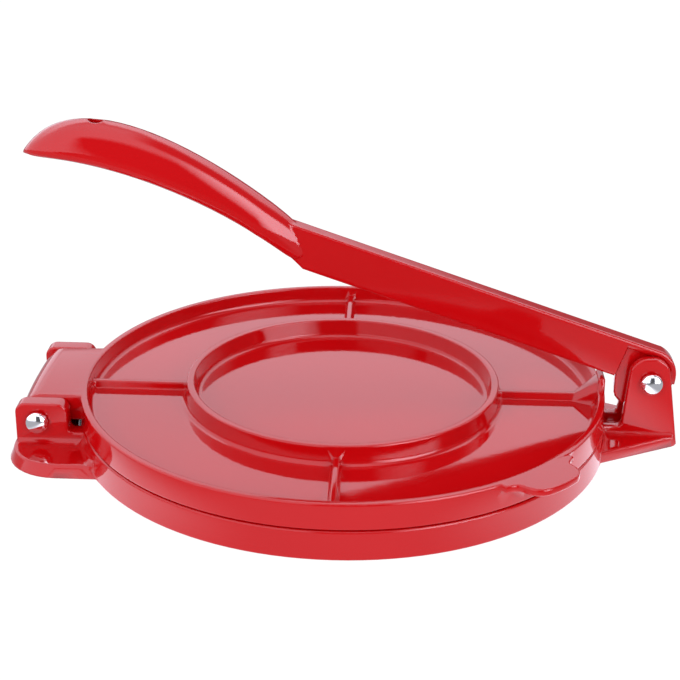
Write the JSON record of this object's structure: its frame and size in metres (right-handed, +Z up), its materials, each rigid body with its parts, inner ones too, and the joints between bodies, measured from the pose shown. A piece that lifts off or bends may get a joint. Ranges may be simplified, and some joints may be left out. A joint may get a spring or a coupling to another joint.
{
  "type": "tortilla press",
  "caption": "Round cast tortilla press: ribbed top plate hinged to a base plate, pressed by a lever with a long curved grip on a bracket opposite.",
  "frame": {"origin": "on the table, under the middle of the whole press's box", "axes": "+X from the plate hinge to the lever bracket, +Y away from the lift tab's side, +Z up"},
  "size_m": [0.3214, 0.2574, 0.1539],
  "materials": {
    "base_coat": "glossy powder coat",
    "plate_coat": "glossy powder coat",
    "lever_coat": "glossy powder coat",
    "steel": "plain drawn rod",
    "chrome": "polished domed cap"
  },
  "bodies": {
    "base": {"base_plate": "base_coat", "hinge_rod": "steel", "hinge_cap_near": "chrome", "hinge_cap_far": "chrome", "lever_rod": "steel", "lever_cap_near": "chrome", "lever_cap_far": "chrome"},
    "top_plate": {"top_plate": "plate_coat"},
    "lever": {"lever": "lever_coat"}
  },
  "joints": [
    {"name": "lever_hinge", "type": "hinge", "parent": "base", "child": "lever", "pos_m": [0.1452, 0, 0.0326], "axis": [0, 1, 0], "range_deg": [0, 115]},
    {"name": "top_plate_hinge", "type": "hinge", "parent": "base", "child": "top_plate", "pos_m": [-0.1471, 0, 0.0167], "axis": [0, -1, 0], "range_deg": [0, 105]}
  ],
  "couplings": [
    {"joint": "top_plate_hinge", "follows": "lever_hinge", "ratio": 0.1}
  ]
}
